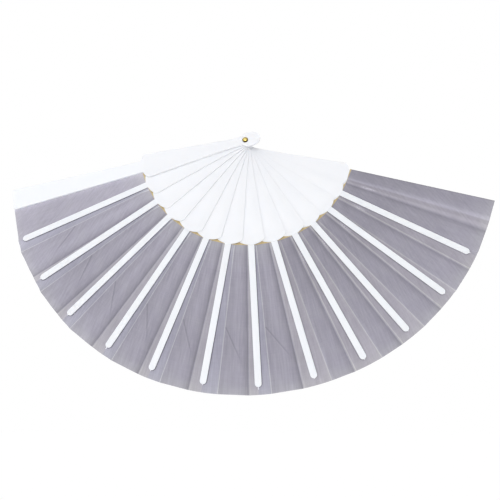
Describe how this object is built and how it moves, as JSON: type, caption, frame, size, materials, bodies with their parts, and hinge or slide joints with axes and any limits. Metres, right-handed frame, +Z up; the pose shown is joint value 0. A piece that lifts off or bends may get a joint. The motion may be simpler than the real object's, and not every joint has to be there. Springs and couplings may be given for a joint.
{
  "type": "folding fan",
  "caption": "Hand-held folding fan: flat plastic sticks turn on one rivet and spread a pleated cloth leaf that is glued behind their thin fingers.",
  "frame": {"origin": "on the rivet's axis, halfway through the stack of sticks, where a hand holds the fan", "axes": "+Y along the rivet, towards the rear guard; +Z up, with the open leaf below; +X to the right, seen from the front"},
  "size_m": [0.4437, 0.0198, 0.2386],
  "materials": {
    "white_plastic": "satin moulded plastic, faintly bluish white",
    "grey_cloth": "plain woven cloth, mauve grey, pressed into pleats",
    "brass": "polished rivet brass"
  },
  "bodies": {
    "rear_guard": {"rear_guard": "white_plastic", "pivot_rivet": "brass", "rivet_washer": "brass", "leaf_panel_01": "grey_cloth"},
    "rib_01": {"rib_01": "white_plastic", "leaf_panel_02": "grey_cloth"},
    "rib_02": {"rib_02": "white_plastic", "leaf_panel_03": "grey_cloth"},
    "rib_03": {"rib_03": "white_plastic", "leaf_panel_04": "grey_cloth"},
    "rib_04": {"rib_04": "white_plastic", "leaf_panel_05": "grey_cloth"},
    "rib_05": {"rib_05": "white_plastic", "leaf_panel_06": "grey_cloth"},
    "rib_06": {"rib_06": "white_plastic", "leaf_panel_07": "grey_cloth"},
    "rib_07": {"rib_07": "white_plastic", "leaf_panel_08": "grey_cloth"},
    "rib_08": {"rib_08": "white_plastic", "leaf_panel_09": "grey_cloth"},
    "rib_09": {"rib_09": "white_plastic", "leaf_panel_10": "grey_cloth"},
    "rib_10": {"rib_10": "white_plastic", "leaf_panel_11": "grey_cloth"},
    "rib_11": {"rib_11": "white_plastic", "leaf_panel_12": "grey_cloth"},
    "rib_12": {"rib_12": "white_plastic", "leaf_panel_13": "grey_cloth"},
    "front_guard": {"front_guard": "white_plastic"}
  },
  "joints": [
    {"name": "rib_01_pivot", "type": "hinge", "parent": "rear_guard", "child": "rib_01", "pos_m": [0, 0, 0], "axis": [0, -1, 0], "range_deg": [0, 11.2], "deforming": ["leaf_panel_01"]},
    {"name": "rib_02_pivot", "type": "hinge", "parent": "rib_01", "child": "rib_02", "pos_m": [0, 0, 0], "axis": [0, -1, 0], "range_deg": [0, 11.4], "deforming": ["leaf_panel_02"]},
    {"name": "rib_03_pivot", "type": "hinge", "parent": "rib_02", "child": "rib_03", "pos_m": [0, 0, 0], "axis": [0, -1, 0], "range_deg": [0, 11.9], "deforming": ["leaf_panel_03"]},
    {"name": "rib_04_pivot", "type": "hinge", "parent": "rib_03", "child": "rib_04", "pos_m": [0, 0, 0], "axis": [0, -1, 0], "range_deg": [0, 11.2], "deforming": ["leaf_panel_04"]},
    {"name": "rib_05_pivot", "type": "hinge", "parent": "rib_04", "child": "rib_05", "pos_m": [0, 0, 0], "axis": [0, -1, 0], "range_deg": [0, 11.2], "deforming": ["leaf_panel_05"]},
    {"name": "rib_06_pivot", "type": "hinge", "parent": "rib_05", "child": "rib_06", "pos_m": [0, 0, 0], "axis": [0, -1, 0], "range_deg": [0, 11.8], "deforming": ["leaf_panel_06"]},
    {"name": "rib_07_pivot", "type": "hinge", "parent": "rib_06", "child": "rib_07", "pos_m": [0, 0, 0], "axis": [0, -1, 0], "range_deg": [0, 11.7], "deforming": ["leaf_panel_07"]},
    {"name": "rib_08_pivot", "type": "hinge", "parent": "rib_07", "child": "rib_08", "pos_m": [0, 0, 0], "axis": [0, -1, 0], "range_deg": [0, 11.5], "deforming": ["leaf_panel_08"]},
    {"name": "rib_09_pivot", "type": "hinge", "parent": "rib_08", "child": "rib_09", "pos_m": [0, 0, 0], "axis": [0, -1, 0], "range_deg": [0, 11], "deforming": ["leaf_panel_09"]},
    {"name": "rib_10_pivot", "type": "hinge", "parent": "rib_09", "child": "rib_10", "pos_m": [0, 0, 0], "axis": [0, -1, 0], "range_deg": [0, 11.9], "deforming": ["leaf_panel_10"]},
    {"name": "rib_11_pivot", "type": "hinge", "parent": "rib_10", "child": "rib_11", "pos_m": [0, 0, 0], "axis": [0, -1, 0], "range_deg": [0, 11.1], "deforming": ["leaf_panel_11"]},
    {"name": "rib_12_pivot", "type": "hinge", "parent": "rib_11", "child": "rib_12", "pos_m": [0, 0, 0], "axis": [0, -1, 0], "range_deg": [0, 11], "deforming": ["leaf_panel_12"]},
    {"name": "front_guard_pivot", "type": "hinge", "parent": "rib_12", "child": "front_guard", "pos_m": [0, 0, 0], "axis": [0, -1, 0], "range_deg": [0, 10.6], "deforming": ["leaf_panel_13"]}
  ],
  "couplings": [
    {"joint": "rib_02_pivot", "follows": "rib_01_pivot", "ratio": 1.0179},
    {"joint": "rib_03_pivot", "follows": "rib_01_pivot", "ratio": 1.0625},
    {"joint": "rib_04_pivot", "follows": "rib_01_pivot", "ratio": 1},
    {"joint": "rib_05_pivot", "follows": "rib_01_pivot", "ratio": 1},
    {"joint": "rib_06_pivot", "follows": "rib_01_pivot", "ratio": 1.0536},
    {"joint": "rib_07_pivot", "follows": "rib_01_pivot", "ratio": 1.0446},
    {"joint": "rib_08_pivot", "follows": "rib_01_pivot", "ratio": 1.0268},
    {"joint": "rib_09_pivot", "follows": "rib_01_pivot", "ratio": 0.98214},
    {"joint": "rib_10_pivot", "follows": "rib_01_pivot", "ratio": 1.0625},
    {"joint": "rib_11_pivot", "follows": "rib_01_pivot", "ratio": 0.99107},
    {"joint": "rib_12_pivot", "follows": "rib_01_pivot", "ratio": 0.98214},
    {"joint": "front_guard_pivot", "follows": "rib_01_pivot", "ratio": 0.94643}
  ]
}
